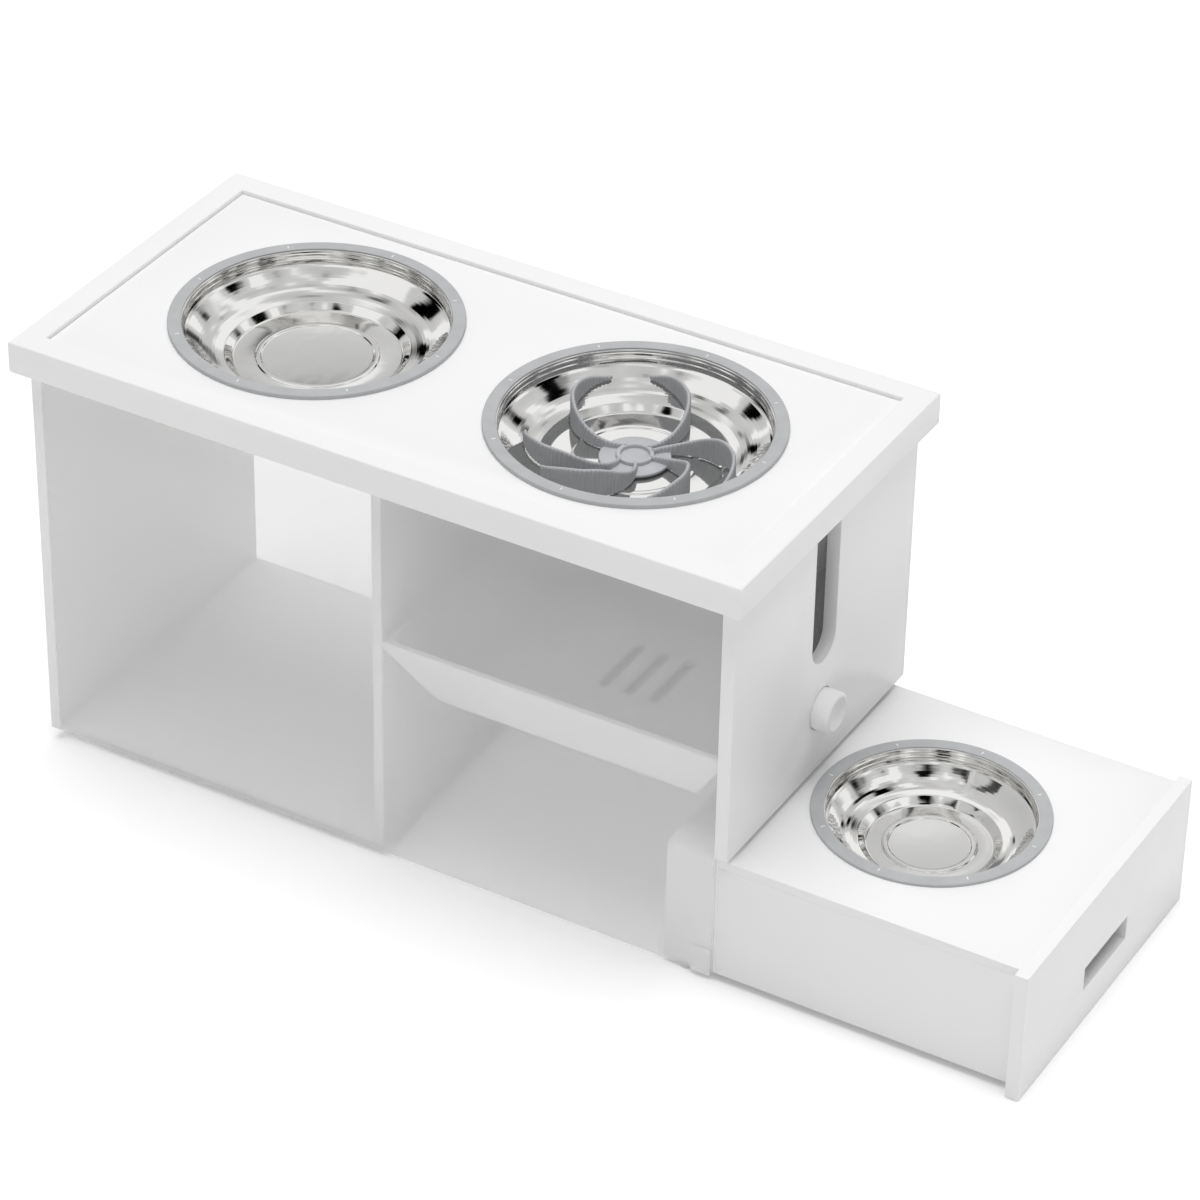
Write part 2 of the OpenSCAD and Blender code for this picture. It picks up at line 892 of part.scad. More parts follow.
module rim_front_rail() {
    color("white")
        translate([lid_x0, lid_y0, lid_z0])
            rim_rail(lid_len);
}

module rim_rear_rail() {
    color("white")
        difference() {
            translate([lid_x1, lid_y1, lid_z0])
                rotate([0, 0, 180])
                    rim_rail(lid_len);
            for (x = hinge_x)
                at_lid_screws(x)
                    translate([0, 0, -cut])
                        cylinder(r = screw_r + screw_gap, h = screw_bite + 2 * cut);
        }
}

module rim_left_rail() {
    color("white")
        translate([lid_x0, lid_y1, lid_z0])
            rotate([0, 0, -90])
                rim_rail(lid_depth);
}

module rim_right_rail() {
    color("white")
        translate([lid_x1, lid_y0, lid_z0])
            rotate([0, 0, 90])
                rim_rail(lid_depth);
}

// Radius of the hole that a bowl's skirt drops through
function bowl_hole(open_r) = skirt_in(open_r) + skirt_t + skirt_gap;

// Inner radius of the ring's skirt
function skirt_in(open_r) = open_r + steel_t + skirt_clear;

module deck_board() {
    color("white")
        difference() {
            slab([lid_x0 + deck_edge, lid_y0 + deck_edge, deck_z - deck_t],
                [lid_x1 - deck_edge, lid_y1 - deck_edge, deck_z]);
            for (x = [left_bowl_x, right_bowl_x])
                translate([x, 0, deck_z - deck_t - cut])
                    cylinder(r = bowl_hole(large_r), h = deck_t + 2 * cut);
        }
}

// Bowls and rings

// Inside of a bowl from its flange to its middle, with z measured from the board it hangs in
function bowl_inside(open_r, flange_z, floor_r, floor_z) =
    let (
        band_z = flange_z - band_h,
        shoulder_r = open_r - shoulder_w,
        shoulder_z = band_z - shoulder_w / 2,
        ring_r = floor_r * 0.7,
        steps = 8
    )
    concat(
        [
            [open_r + flange_w, flange_z],
            [open_r + 0.6, flange_z],
            [open_r, flange_z - 0.6],
            [open_r - 0.6, band_z]
        ],
        [
            for (i = [0 : steps])
                let (s = i / steps)
                [
                    shoulder_r + (floor_r - shoulder_r) * s,
                    shoulder_z + (floor_z - shoulder_z) * s - belly * sin(180 * s)
                ]
        ],
        [
            [ring_r + floor_ring_w / 2, floor_z],
            [ring_r + floor_ring_w / 4, floor_z + floor_ring_h],
            [ring_r - floor_ring_w / 4, floor_z + floor_ring_h],
            [ring_r - floor_ring_w / 2, floor_z],
            [0, floor_z]
        ]
    );

// Unit direction from one point to another
function heading(a, b) = (b - a) / norm(b - a);

// Points moved by t to the right of the way they run, with square corners kept
function beside(points, t) = [
    for (i = [0 : len(points) - 1])
        let (
            before = heading(points[max(i - 1, 0)], points[max(i, 1)]),
            after = heading(points[min(i, len(points) - 2)], points[min(i + 1, len(points) - 1)]),
            n0 = [before[1], -before[0]],
            n1 = [after[1], -after[0]],
            m = (n0 + n1) / (1 + n0 * n1)
        )
        points[i] + t * m
];

// Points in the other order
function backward(points) = [for (i = [len(points) - 1 : -1 : 0]) points[i]];

module bowl(open_r, ring_h, depth, floor_r) {
    flange_z = (ring_h + steel_t) / 2;
    inside = bowl_inside(open_r, flange_z, floor_r, ring_h - depth);
    rotate_extrude()
        polygon(concat(inside, backward(beside(inside, -steel_t))));
}

module bowl_ring(open_r, ring_h, board_t) {
    z0 = (ring_h - steel_t) / 2;
    z1 = (ring_h + steel_t) / 2;
    out_r = open_r + ring_w;
    skirt_r = skirt_in(open_r);
    pocket_r = open_r + flange_w + skirt_clear;
    soft = 0.8;
    rotate_extrude()
        polygon([
            [skirt_r, z0],
            [skirt_r, 1 - board_t],
            [skirt_r + skirt_t - soft / 2, 1 - board_t],
            [skirt_r + skirt_t, 1.5 - board_t],
            [skirt_r + skirt_t, 0],
            [out_r, 0],
            [out_r, ring_h - soft],
            [out_r - soft / 3, ring_h - soft / 3],
            [out_r - soft, ring_h],
            [open_r + 1 + soft, ring_h],
            [open_r + 1, ring_h - soft / 2],
            [open_r + 1, z1],
            [pocket_r, z1],
            [pocket_r, z0]
        ]);
}

module left_bowl() {
    color("silver")
        translate([left_bowl_x, 0, deck_z])
            bowl(large_r, large_ring_h, large_depth, large_floor_r);
}

module left_bowl_ring() {
    color("gray")
        translate([left_bowl_x, 0, deck_z])
            bowl_ring(large_r, large_ring_h, deck_t);
}

module right_bowl() {
    color("silver")
        translate([right_bowl_x, 0, deck_z])
            bowl(large_r, large_ring_h, large_depth, large_floor_r);
}

module right_bowl_ring() {
    color("gray")
        translate([right_bowl_x, 0, deck_z])
            bowl_ring(large_r, large_ring_h, deck_t);
}

module small_bowl() {
    color("silver")
        translate([small_x, 0, drawer_top_z])
            bowl(small_r, small_ring_h, small_depth, small_floor_r);
}

module small_bowl_ring() {
    color("gray")
        translate([small_x, 0, drawer_top_z])
            bowl_ring(small_r, small_ring_h, drawer_top_t);
}

// Slow feeder: bowed fins in a whirl on a thin round base, one of them bowed the other way

// Angles where each fin leaves the hub and where it ends, and the side to which it bows
fins = [[190, 132, -1], [0, 104, 1], [60, -14, -1], [-20, -68, -1], [-60, -124, -1], [-110, -168, -1]];

// A point at a radius and an angle
function polar(r, a) = [r * cos(a), r * sin(a)];

// Height of a fin's top edge from its start, at u = -1, to its end, at u = 1
function fin_edge(u) =
    let (rise = sin(90 * min(1, (u + 1) / 1.25)) ^ 1.4, drop = 0.3 * max(0, (u - 0.45) / 0.55) ^ 3)
    (fin_low_h + (fin_h - fin_low_h) * rise) * (1 - drop);

// One fin: part of an upright ring through both ends, cut to the rounded edge
module fin(start_a, end_a, s) {
    p = polar(hub_r - fin_t * 0.6, start_a);
    q = polar(fin_out_r, end_a);
    chord = norm(q - p);
    bend_r = (chord ^ 2 / 4 + fin_bow ^ 2) / (2 * fin_bow);
    half_a = asin(chord / 2 / bend_r);
    steps = 10;
    translate([p[0], p[1], 0])
        rotate([0, 0, atan2((q - p)[1], (q - p)[0])])
            translate([chord / 2, -s * (fin_bow - bend_r), 0])
                intersection() {
                    linear_extrude(fin_h)
                        fin_plan(bend_r, half_a, s);
                    prism_y(-2 * bend_r, 2 * bend_r, concat(
                        [[chord / 2 + fin_t, -1], [-chord / 2 - fin_t, -1], [-chord / 2 - fin_t, fin_low_h]],
                        [
                            for (i = [0 : steps])
                                let (u = -cos(180 * i / steps))
                                [u * chord / 2, fin_edge(u)]
                        ],
                        [[chord / 2 + fin_t, fin_edge(1)]]
                    ));
                }
}

// Plan of a fin with the middle of its bend at the origin
module fin_plan(bend_r, half_a, s) {
    intersection() {
        difference() {
            circle(r = bend_r + fin_t / 2);
            circle(r = bend_r - fin_t / 2);
        }
        polygon([
            [0, 0],
            polar(2 * bend_r, -s * 90 - half_a),
            polar(2 * bend_r, -s * 90),
            polar(2 * bend_r, -s * 90 + half_a)
        ]);
    }
}

// Space that the bowl leaves for the insert, measured from the insert's base
module insert_space(base_z) {
    band_z = (large_ring_h + steel_t) / 2 - band_h;
    wall_z = band_z - shoulder_w / 2 - base_z;
    wall_r = large_r - shoulder_w - insert_gap - belly;
    rotate_extrude()
        polygon([
            [0, 0],
            [large_floor_r - insert_gap, 0],
            [(large_floor_r + wall_r) / 2 + belly / 2, wall_z / 2],
            [wall_r, wall_z],
            [wall_r, 2 * fin_h],
            [0, 2 * fin_h]
        ]);
}

module slow_feeder_insert() {
    base_z = large_ring_h - large_depth + floor_ring_h + insert_lift;
    base_r = large_floor_r - insert_gap;
    color("slategray")
        translate([right_bowl_x, 0, deck_z + base_z]) {
            rotate_extrude()
                polygon([
                    [0, 0],
                    [base_r, 0],
                    [base_r, base_t - base_chamfer],
                    [base_r - base_chamfer, base_t],
                    [0, base_t]
                ]);
            difference() {
                cylinder(r = hub_r, h = fin_low_h - base_chamfer);
                translate([0, 0, base_t - base_chamfer])
                    cylinder(r = hub_r - fin_t, h = fin_low_h);
            }
            for (f = fins)
                intersection() {
                    fin(f[0], f[1], f[2]);
                    insert_space(base_z);
                }
        }
}

// Drawer

module drawer_end_panel() {
    r = finger_round;
    color("white")
        difference() {
            slab([end_panel_x, cab_y0, end_panel_gap], [drawer_x1, cab_y1, drawer_top_z]);
            translate([end_panel_x - cut, 0, finger_z])
                rotate([90, 0, 90])
                    linear_extrude(end_panel_t + 2 * cut)
                        union() {
                            square([finger_w - 2 * r, finger_h], center = true);
                            square([finger_w, finger_h - 2 * r], center = true);
                            for (y = [-1, 1], z = [-1, 1])
                                translate([y * (finger_w / 2 - r), z * (finger_h / 2 - r)])
                                    circle(r = r);
                        }
        }
}

module drawer_top_board() {
    color("white")
        difference() {
            slab([drawer_x0, drawer_y0, drawer_top_z - drawer_top_t],
                [end_panel_x, drawer_y1, drawer_top_z]);
            translate([small_x, 0, drawer_top_z - drawer_top_t - cut])
                cylinder(r = bowl_hole(small_r), h = drawer_top_t + 2 * cut);
        }
}

module drawer_front_side() {
    color("white")
        slab([drawer_x0, drawer_y0, glide_h],
            [end_panel_x, drawer_y0 + drawer_side_t, drawer_top_z - drawer_top_t]);
}

module drawer_rear_side() {
    color("white")
        slab([drawer_x0, drawer_y1 - drawer_side_t, glide_h],
            [end_panel_x, drawer_y1, drawer_top_z - drawer_top_t]);
}

module drawer_inner_end() {
    color("white")
        slab([drawer_x0, drawer_y0 + drawer_side_t, glide_h],
            [drawer_x0 + drawer_side_t, drawer_y1 - drawer_side_t, drawer_top_z - drawer_top_t]);
}

module drawer_glides() {
    color("dimgray")
        for (s = [-1, 1]) {
            translate([glide_x, s * (drawer_y1 - glide_r - 0.5), 0])
                round_foot(glide_r, glide_h);
            translate([(end_panel_x + drawer_x1) / 2, s * (drawer_y1 - glide_r - 0.5), 0])
                cylinder(r = pad_r, h = end_panel_gap);
        }
}

left_wall();
right_wall();
divider();
front_panel();
bin_back_panel();
storage_floor();
store_top_rail();
bin_top_rail();
hopper_front_board();
hopper_rear_board();
hopper_left_board();
hopper_right_board();
hopper_floor();
window_pane();
window_screws();
cabinet_feet();
bay_strap();
strap_feet();
gate_runner_front();
gate_runner_rear();
gate_bridge();
return_spring();
hinge_leaf_left_cabinet();
hinge_leaf_right_cabinet();
hinge_pin_left();
hinge_pin_right();
hinge_screws_cabinet();
rim_front_rail();
rim_rear_rail();
rim_left_rail();
rim_right_rail();
deck_board();
hinge_leaf_left_lid();
hinge_leaf_right_lid();
hinge_screws_lid();
left_bowl();
left_bowl_ring();
right_bowl();
right_bowl_ring();
slow_feeder_insert();
push_button();
button_stem();
stem_nut();
gate_plate();
drawer_end_panel();
drawer_top_board();
drawer_front_side();
drawer_rear_side();
drawer_inner_end();
drawer_glides();
small_bowl();
small_bowl_ring();
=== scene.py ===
# %% [markdown]
# # An elevated dog feeder
# The feeder is a white cabinet with a lid that holds two steel bowls. The front is a milky panel,
# a food bin with a hopper fills the right half, and a drawer with a third bowl stands pulled out.
# The construction comes in as a fixed frame of solids. This lesson gives every piece its finish, and
# remodels the pieces whose real surfaces are finer than those solids.

# %% Load the frame
import json
import math

import bpy
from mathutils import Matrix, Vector


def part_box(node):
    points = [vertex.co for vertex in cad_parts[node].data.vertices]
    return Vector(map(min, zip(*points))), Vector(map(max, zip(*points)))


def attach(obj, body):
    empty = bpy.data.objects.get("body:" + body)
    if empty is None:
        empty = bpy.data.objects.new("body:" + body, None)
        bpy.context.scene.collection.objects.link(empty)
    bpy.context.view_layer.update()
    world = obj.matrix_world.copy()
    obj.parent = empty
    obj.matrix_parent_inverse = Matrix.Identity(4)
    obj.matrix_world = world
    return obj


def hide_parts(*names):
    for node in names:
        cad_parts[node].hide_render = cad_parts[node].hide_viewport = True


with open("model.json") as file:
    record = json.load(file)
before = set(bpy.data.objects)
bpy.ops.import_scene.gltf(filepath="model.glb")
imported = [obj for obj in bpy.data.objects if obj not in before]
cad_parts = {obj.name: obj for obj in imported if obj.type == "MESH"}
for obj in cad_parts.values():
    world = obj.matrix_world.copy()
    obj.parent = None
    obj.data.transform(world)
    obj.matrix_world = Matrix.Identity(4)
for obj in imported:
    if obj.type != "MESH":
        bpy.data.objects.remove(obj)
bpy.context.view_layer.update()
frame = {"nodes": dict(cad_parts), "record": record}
nodes = frame["nodes"]

# %% [markdown]
# ## Camera
# The photograph was taken from the front right, about 34 degrees above the horizon, with a long lens.
# The place, turn and lens below were fitted to the corners of the boards and the outlines of the rings.

# %% Camera
MM = 0.001
camera_data = bpy.data.cameras.new("camera")
camera_data.sensor_width = 36.0
camera_data.lens = 144.448
camera = bpy.data.objects.new("camera", camera_data)
bpy.context.scene.collection.objects.link(camera)
camera.location = (1.65273, -2.90437, 2.51143)
camera.rotation_euler = (0.970792, -0.016276, 0.529430)
bpy.context.scene.camera = camera

# %% [markdown]
# ## Selecting and finishing
# An operator acts on all that is selected, so each step first clears the selection and then picks
# one object. The small helpers here are used for every piece that follows.


# %% Selection helpers
def pick(obj):
    """Makes obj the only selected object and the active one."""
    bpy.ops.object.select_all(action="DESELECT")
    obj.select_set(True)
    bpy.context.view_layer.objects.active = obj
    return obj


def apply_modifiers(obj):
    """Applies all of obj's modifiers, top first."""
    pick(obj)
    for name in [m.name for m in obj.modifiers]:
        bpy.ops.object.modifier_apply(modifier=name)
    return obj


def smooth(obj, degrees):
    """Shades obj smooth, with edges sharper than the given angle kept."""
    pick(obj)
    bpy.ops.object.shade_smooth_by_angle(angle=math.radians(degrees))
    return obj


def join(parts):
    """Joins parts into the first of them."""
    bpy.ops.object.select_all(action="DESELECT")
    for part in parts:
        part.select_set(True)
    bpy.context.view_layer.objects.active = parts[0]
    bpy.ops.object.join()
    return parts[0]


def settle(obj, body, material):
    """Puts the object's place into its mesh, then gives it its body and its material."""
    pick(obj)
    bpy.ops.object.transform_apply(location=True, rotation=True, scale=True)
    obj.data.materials.clear()
    obj.data.materials.append(material)
    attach(obj, body)
    return obj


# %% [markdown]
# ## Materials
# Every finish is a small node tree on Object coordinates, which are metres here. A noise that is a
# little stronger in one direction than another, or a little rougher in patches, is what keeps a plain
# white board from looking like paper.


# %% Material helpers
def new_material(name, colour, roughness, metallic=0.0):
    """A Principled material whose constants sit on the shader itself."""
    material = bpy.data.materials.new(name)
    material.use_nodes = True
    shader = material.node_tree.nodes["Principled BSDF"]
    shader.inputs["Base Color"].default_value = (*colour, 1.0)
    shader.inputs["Roughness"].default_value = roughness
    shader.inputs["Metallic"].default_value = metallic
    return material, material.node_tree, shader


def object_noise(tree, scale, detail=3.0, stretch=(1.0, 1.0, 1.0)):
    """A noise in the object's own metres, stretched along its axes."""
    place = tree.nodes.new("ShaderNodeTexCoord")
    mapping = tree.nodes.new("ShaderNodeMapping")
    mapping.inputs["Scale"].default_value = stretch
    noise = tree.nodes.new("ShaderNodeTexNoise")
    noise.inputs["Scale"].default_value = scale
    noise.inputs["Detail"].default_value = detail
    tree.links.new(place.outputs["Object"], mapping.inputs["Vector"])
    tree.links.new(mapping.outputs["Vector"], noise.inputs["Vector"])
    return noise.outputs["Fac"]


def vary(tree, factor, socket, low, high):
    """Spreads a 0 to 1 factor over low to high, and links it to a number socket."""
    spread = tree.nodes.new("ShaderNodeMapRange")
    spread.inputs["From Min"].default_value = 0.3
    spread.inputs["From Max"].default_value = 0.7
    spread.inputs["To Min"].default_value = low
    spread.inputs["To Max"].default_value = high
    tree.links.new(factor, spread.inputs["Value"])
    tree.links.new(spread.outputs["Result"], socket)


def tint(tree, factor, socket, low, high):
    """Mixes two colours by a factor, and links the result to a colour socket."""
    ramp = tree.nodes.new("ShaderNodeValToRGB")
    ramp.color_ramp.elements[0].position = 0.3
    ramp.color_ramp.elements[1].position = 0.7
    ramp.color_ramp.elements[0].color = (*low, 1.0)
    ramp.color_ramp.elements[1].color = (*high, 1.0)
    tree.links.new(factor, ramp.inputs["Fac"])
    tree.links.new(ramp.outputs["Color"], socket)


def relief(tree, height, shader, strength, depth):
    """A bump of the given depth in metres."""
    bump = tree.nodes.new("ShaderNodeBump")
    bump.inputs["Strength"].default_value = strength
    bump.inputs["Distance"].default_value = depth
    tree.links.new(height, bump.inputs["Height"])
    tree.links.new(bump.outputs["Normal"], shader.inputs["Normal"])


# %% [markdown]
# ### White laminate
# The boards are coated boards: very even, satin, with a faint pebble under the light. The colour moves
# by a hundredth and the roughness by a few hundredths.

# %% White laminate
laminate, tree, shader = new_material("white_laminate", (0.92, 0.92, 0.92), 0.38)
tint(
    tree, object_noise(tree, 3.0), shader.inputs["Base Color"],
    (0.915, 0.915, 0.913), (0.93, 0.93, 0.93),
)
vary(tree, object_noise(tree, 9.0, 4.0), shader.inputs["Roughness"], 0.34, 0.44)
relief(tree, object_noise(tree, 700.0, 2.0), shader, 0.05, 0.0002)

# %% [markdown]
# ### Milky panel
# The front lets the inside show through as through mist. Only its outer face carries the veil, and the
# rear face is clear, so the boards behind it keep their edges. A milky sheet passes most of the light
# that falls on it, so shadow and bounce rays go through and the boards inside stay bright.

# %% Milky panel
milky, tree, shader = new_material("milky_plastic", (0.80, 0.80, 0.80), 0.24)
shader.inputs["Alpha"].default_value = 0.52
tint(
    tree, object_noise(tree, 2.0), shader.inputs["Base Color"],
    (0.79, 0.79, 0.79), (0.81, 0.81, 0.81),
)
rays = tree.nodes.new("ShaderNodeLightPath")
side = tree.nodes.new("ShaderNodeNewGeometry")
lighting = tree.nodes.new("ShaderNodeMath")
lighting.operation = "MAXIMUM"
passing = tree.nodes.new("ShaderNodeMath")
passing.operation = "MAXIMUM"
clear = tree.nodes.new("ShaderNodeBsdfTransparent")
veil = tree.nodes.new("ShaderNodeMixShader")
tree.links.new(rays.outputs["Is Shadow Ray"], lighting.inputs[0])
tree.links.new(rays.outputs["Is Diffuse Ray"], lighting.inputs[1])
tree.links.new(lighting.outputs[0], passing.inputs[0])
tree.links.new(side.outputs["Backfacing"], passing.inputs[1])
tree.links.new(passing.outputs[0], veil.inputs["Fac"])
tree.links.new(shader.outputs[0], veil.inputs[1])
tree.links.new(clear.outputs[0], veil.inputs[2])
tree.links.new(veil.outputs[0], tree.nodes["Material Output"].inputs["Surface"])

# %% [markdown]
# ### Smoked pane
# The level window is a dark clear plastic. It mirrors softly and hides most of the bin behind it. Its
# colour is painted a little paler towards its top, a painted brightening that stands for the light
# falling into the bin from above.

# %% Smoked pane
smoked, tree, shader = new_material("smoked_plastic", (0.09, 0.09, 0.09), 0.12)
shader.inputs["Alpha"].default_value = 0.88
place = tree.nodes.new("ShaderNodeTexCoord")
height = tree.nodes.new("ShaderNodeSeparateXYZ")
tree.links.new(place.outputs["Object"], height.inputs["Vector"])
# Painted light: the pane's colour is made paler towards its top, for the light falling into the bin from
# above.
painted_top_light = tree.nodes.new("ShaderNodeMapRange")
painted_top_light.inputs["From Min"].default_value = 0.29
painted_top_light.inputs["From Max"].default_value = 0.37
tree.links.new(height.outputs["Z"], painted_top_light.inputs["Value"])
tint(
    tree, painted_top_light.outputs["Result"], shader.inputs["Base Color"],
    (0.09, 0.09, 0.09), (0.20, 0.20, 0.197),
)
vary(tree, object_noise(tree, 30.0), shader.inputs["Roughness"], 0.10, 0.16)

# %% [markdown]
# ### Polished steel
# Pressed and polished steel is a mirror with a little haze. The haze changes in patches, and a very
# fine ripple breaks the longest reflections.

# %% Polished steel
steel, tree, shader = new_material("polished_steel", (0.82, 0.815, 0.80), 0.08, 1.0)
tint(
    tree, object_noise(tree, 6.0), shader.inputs["Base Color"],
    (0.79, 0.785, 0.77), (0.85, 0.845, 0.83),
)
vary(tree, object_noise(tree, 40.0, 5.0), shader.inputs["Roughness"], 0.03, 0.08)
relief(tree, object_noise(tree, 30.0, 2.0), shader, 0.22, 0.0006)

# %% Steel hardware
hardware, tree, shader = new_material("steel_hardware", (0.55, 0.55, 0.56), 0.32, 1.0)
vary(tree, object_noise(tree, 90.0, 4.0, (1.0, 1.0, 12.0)), shader.inputs["Roughness"], 0.24, 0.42)
tint(
    tree, object_noise(tree, 25.0), shader.inputs["Base Color"],
    (0.50, 0.50, 0.51), (0.60, 0.60, 0.61),
)

# %% [markdown]
# ### Grey silicone
# The rings are matte and soft to the touch. Their grey is even, with a dusting of lighter spots.

# %% Grey silicone
silicone, tree, shader = new_material("grey_silicone", (0.46, 0.47, 0.48), 0.62)
tint(
    tree, object_noise(tree, 60.0, 5.0), shader.inputs["Base Color"],
    (0.445, 0.455, 0.465), (0.49, 0.50, 0.51),
)
relief(tree, object_noise(tree, 900.0, 2.0), shader, 0.12, 0.0002)

# %% Marks on the rings
mark_silicone, tree, shader = new_material("pale_silicone", (0.86, 0.87, 0.88), 0.5)
vary(tree, object_noise(tree, 200.0), shader.inputs["Roughness"], 0.45, 0.55)

# %% Grey plastic of the slow feeder
grey_plastic, tree, shader = new_material("grey_plastic", (0.50, 0.51, 0.53), 0.5)
tint(
    tree, object_noise(tree, 45.0, 4.0), shader.inputs["Base Color"],
    (0.47, 0.48, 0.50), (0.53, 0.54, 0.56),
)
relief(tree, object_noise(tree, 60.0, 2.0, (1.0, 1.0, 50.0)), shader, 0.25, 0.0003)

# %% White plastic, pale rubber
white_plastic, tree, shader = new_material("white_plastic", (0.91, 0.91, 0.91), 0.34)
vary(tree, object_noise(tree, 40.0), shader.inputs["Roughness"], 0.30, 0.40)
relief(tree, object_noise(tree, 1200.0, 2.0), shader, 0.06, 0.0002)
rubber, tree, shader = new_material("pale_rubber", (0.70, 0.70, 0.70), 0.7)
tint(
    tree, object_noise(tree, 80.0, 4.0), shader.inputs["Base Color"],
    (0.68, 0.68, 0.68), (0.73, 0.73, 0.73),
)
relief(tree, object_noise(tree, 800.0, 2.0), shader, 0.2, 0.0003)

# %% [markdown]
# ## Finish of the solids
# Each solid first gets the material that its own slot names. Pieces that are remodelled later hide
# their solid, and the rest show it as it is. The tie strap round the drawer bay is coated white.

# %% Dress the solids
finishes = {
    "white_laminate": laminate,
    "milky_plastic": milky,
    "smoked_plastic": smoked,
    "polished_steel": steel,
    "steel_hardware": hardware,
    "grey_silicone": silicone,
    "grey_plastic": grey_plastic,
    "white_plastic": white_plastic,
    "black_rubber": rubber,
}
slot_of = {part["node"]: part["material_slot"] for part in frame["record"]["subparts"]}
body_of = {n: b for b, names in frame["record"]["behaviour"]["bodies"].items() for n in names}
for name, node in nodes.items():
    node.data.materials.clear()
    node.data.materials.append(finishes[slot_of[name]])
nodes["bay_strap"].data.materials[0] = white_plastic
print("dressed", len(nodes), "solids")

# %% [markdown]
# ## Boards with eased edges
# No real board has a knife edge: the coating wraps over a small radius that catches a thin line of
# light. Each board is copied from its solid, its loose triangles are merged into clean faces, and a
# Bevel modifier eases the sharp edges.


# %% Copies with eased edges
corner_distance = 0.01 * MM
flat_angle = math.radians(0.5)


def cut_away(obj, low, high):
    """Takes the block between two corners, in mm, out of obj."""
    size = [(b - a) * MM for a, b in zip(low, high)]
    centre = [(a + b) / 2 * MM for a, b in zip(low, high)]
    bpy.ops.object.select_all(action="DESELECT")
    bpy.ops.mesh.primitive_cube_add(size=1.0, location=centre, scale=size)
    block = bpy.context.active_object
    cut = obj.modifiers.new("cut", "BOOLEAN")
    cut.operation = "DIFFERENCE"
    cut.solver = "EXACT"
    cut.object = block
    apply_modifiers(obj)
    bpy.data.objects.remove(block)


def copy_of(node, name):
    """A new object with a copy of a solid's mesh, in that solid's place."""
    copy = bpy.data.objects.new(name, nodes[node].data.copy())
    bpy.context.scene.collection.objects.link(copy)
    return copy


def merge_faces(obj, distance):
    """Merges obj's loose corners, then its flat triangles into whole faces."""
    pick(obj)
    bpy.ops.object.mode_set(mode="EDIT")
    bpy.ops.mesh.select_all(action="SELECT")
    bpy.ops.mesh.remove_doubles(threshold=distance)
    bpy.ops.mesh.customdata_custom_splitnormals_clear()
    bpy.ops.mesh.dissolve_limited(angle_limit=flat_angle)
    bpy.ops.object.mode_set(mode="OBJECT")


def ease_edges(obj, width, sharper_than):
    """Rounds the edges that are sharper than an angle in degrees, and shades the rounding smooth."""
    bevel = obj.modifiers.new("eased_edges", "BEVEL")
    bevel.width = width
    bevel.segments = 3
    bevel.limit_method = "ANGLE"
    bevel.angle_limit = math.radians(sharper_than)
    apply_modifiers(obj)
    smooth(obj, 40)


def eased(node, width, notch=None):
    """A copy of a solid with merged faces and rounded edges, in that solid's place."""
    copy = copy_of(node, node + "_eased")
    merge_faces(copy, corner_distance)
    if notch:
        cut_away(copy, *notch)
    ease_edges(copy, width, 40)
    settle(copy, body_of[node], finishes[slot_of[node]])
    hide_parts(node)
    return copy


# %% [markdown]
# ### Boards, front panel and pane
# The window slot in the right wall runs up to the lid, so its mouth is cut through the wall's top. The
# milky front panel keeps a hair's breadth from the boards behind it, so that their edges show cleanly.

# %% Boards, front panel and pane
board_ease = 0.3 * MM
panel_ease = 0.5 * MM
panel_gap = 0.4 * MM
slot_half = 20.5
slot_mouth_low, slot_mouth_high = 330.0, 390.0
slot_mouth = ((190.0, -slot_half, slot_mouth_low), (215.0, slot_half, slot_mouth_high))
rim_rails = ["rim_front_rail", "rim_rear_rail", "rim_left_rail", "rim_right_rail"]
boards = [n for n, slot in slot_of.items() if slot == "white_laminate" and n not in rim_rails]
for node in boards:
    eased(node, board_ease, notch=slot_mouth if node == "right_wall" else None)
front = eased("front_panel", panel_ease)
rear_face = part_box("front_panel")[1].y
for vertex in front.data.vertices:
    if vertex.co.y > rear_face - 1.5 * panel_ease:
        vertex.co.y -= panel_gap
eased("window_pane", board_ease)
print("eased", len(boards) + 2, "boards and panes")

# %% [markdown]
# ## Rim of the lid
# The four rails meet in mitres that are glued and coated over, so no joint shows at the corners. Their
# copies are joined, the faces buried in the mitres are taken out, and only the outer edges are eased.

# %% Rim frame
rails = [copy_of(node, node + "_copy") for node in rim_rails]
rim = join(rails)
rim.name = "rim_frame"
merge_faces(rim, 2 * corner_distance)
bpy.ops.object.mode_set(mode="EDIT")
bpy.ops.mesh.select_all(action="DESELECT")
bpy.ops.mesh.select_mode(type="FACE")
bpy.ops.mesh.select_interior_faces()
bpy.ops.mesh.delete(type="FACE")
bpy.ops.mesh.select_all(action="SELECT")
bpy.ops.mesh.dissolve_limited(angle_limit=flat_angle)
bpy.ops.object.mode_set(mode="OBJECT")
ease_edges(rim, board_ease, 25)
settle(rim, "lid", laminate)
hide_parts(*rim_rails)
print("rim frame", len(rim.data.polygons), "faces")

# %% [markdown]
# ## Turned shapes
# Bowls, rings and the slow feeder's hub are round. A maker would press or mould them, and here an
# outline of points is spun about its axis with the spin operator. Corners are rounded in the outline
# first, so that the turned piece has its real soft edges.


# %% Outline and spin helpers
round_steps = 160


